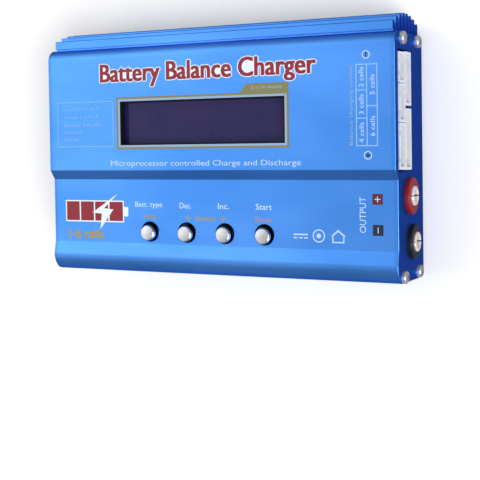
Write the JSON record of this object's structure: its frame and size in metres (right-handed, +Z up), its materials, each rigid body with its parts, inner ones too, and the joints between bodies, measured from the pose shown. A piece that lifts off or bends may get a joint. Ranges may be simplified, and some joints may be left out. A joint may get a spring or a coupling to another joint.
{
  "type": "balance battery charger",
  "caption": "Flat finned metal case with a recessed display, a row of push buttons, round output sockets and shrouded balance ports on one end, and an input jack on the other.",
  "frame": {"origin": "on the surface the feet stand on, under the middle of the case's box", "axes": "+X to the end with the balance and output sockets, +Y to the cooling fins, +Z up, away from the feet"},
  "size_m": [0.1368, 0.0886, 0.033],
  "materials": {
    "blue_case": "satin blue anodised",
    "blue_plate": "satin dark blue anodised",
    "bright_screws": "nickel plated",
    "black_rubber": "matt moulded",
    "black_gasket": "matt",
    "black_bezel": "satin black",
    "display_glass": "dark, unlit, glossy",
    "light_diffuser": "frosted",
    "green_board": "solder mask",
    "gold_pins": "gold flashed",
    "brass_standoffs": "turned",
    "black_plastic": "moulded",
    "red_collar": "moulded",
    "black_collar": "moulded",
    "nickel_contact": "nickel plated",
    "red_lead": "insulated wire",
    "black_lead": "insulated wire",
    "white_nylon": "moulded",
    "tinned_tabs": "tinned",
    "grey_pad": "silicone",
    "core_ferrite": "coated powder core",
    "copper_wire": "enamelled copper",
    "can_sleeve": "printed sleeve over aluminium",
    "fuse_glass": "clear",
    "chip_black": "moulded",
    "silver_caps": "plated",
    "trimmer_blue": "moulded"
  },
  "bodies": {
    "charger": {"balance_resistors": "chip_black", "balance_socket_2s": "white_nylon", "balance_socket_3s": "white_nylon", "balance_socket_4s": "white_nylon", "balance_socket_5s": "white_nylon", "balance_socket_6s": "white_nylon", "board_link": "black_plastic", "board_screws": "bright_screws", "bottom_screws": "bright_screws", "bottom_shell": "blue_case", "buzzer": "black_plastic", "capacitor_cans": "can_sleeve", "contrast_trimmer": "trimmer_blue", "control_board": "green_board", "crystal": "tinned_tabs", "display_board": "green_board", "display_gasket": "black_gasket", "display_pins": "gold_pins", "display_spacers": "brass_standoffs", "fuse_clips": "tinned_tabs", "input_fuse": "fuse_glass", "input_jack": "black_plastic", "input_jack_pin": "nickel_contact", "insulating_pad": "grey_pad", "lcd_backlight": "light_diffuser", "lcd_bezel": "black_bezel", "lcd_glass": "display_glass", "left_end_plate": "blue_plate", "lower_standoffs": "brass_standoffs", "main_board": "green_board", "microcontroller": "chip_black", "negative_output_collar": "black_collar", "negative_output_contact": "nickel_contact", "negative_output_lead": "black_lead", "output_nuts": "bright_screws", "plate_screws": "bright_screws", "positive_output_collar": "red_collar", "positive_output_contact": "nickel_contact", "positive_output_lead": "red_lead", "push_switch_bodies": "black_plastic", "right_end_plate": "blue_plate", "rubber_feet": "black_rubber", "sensor_port": "white_nylon", "socket_board": "green_board", "socket_pins": "gold_pins", "top_shell": "blue_case", "toroid_cores": "core_ferrite", "toroid_windings": "copper_wire", "transistor_bodies": "black_plastic", "transistor_screws": "bright_screws", "transistor_tabs": "tinned_tabs", "upper_standoffs": "brass_standoffs"},
    "button_stop": {"button_stop_cap": "silver_caps", "button_stop_plunger": "black_plastic"},
    "button_dec": {"button_dec_cap": "silver_caps", "button_dec_plunger": "black_plastic"},
    "button_inc": {"button_inc_cap": "silver_caps", "button_inc_plunger": "black_plastic"},
    "button_start": {"button_start_cap": "silver_caps", "button_start_plunger": "black_plastic"}
  },
  "joints": [
    {"name": "stop_press", "type": "slide", "parent": "charger", "child": "button_stop", "axis": [0, 0, -1], "range_m": [0, 0.0003], "stiffness_N_per_m": 1500},
    {"name": "dec_press", "type": "slide", "parent": "charger", "child": "button_dec", "axis": [0, 0, -1], "range_m": [0, 0.0003], "stiffness_N_per_m": 1500},
    {"name": "inc_press", "type": "slide", "parent": "charger", "child": "button_inc", "axis": [0, 0, -1], "range_m": [0, 0.0003], "stiffness_N_per_m": 1500},
    {"name": "start_press", "type": "slide", "parent": "charger", "child": "button_start", "axis": [0, 0, -1], "range_m": [0, 0.0003], "stiffness_N_per_m": 1500}
  ]
}
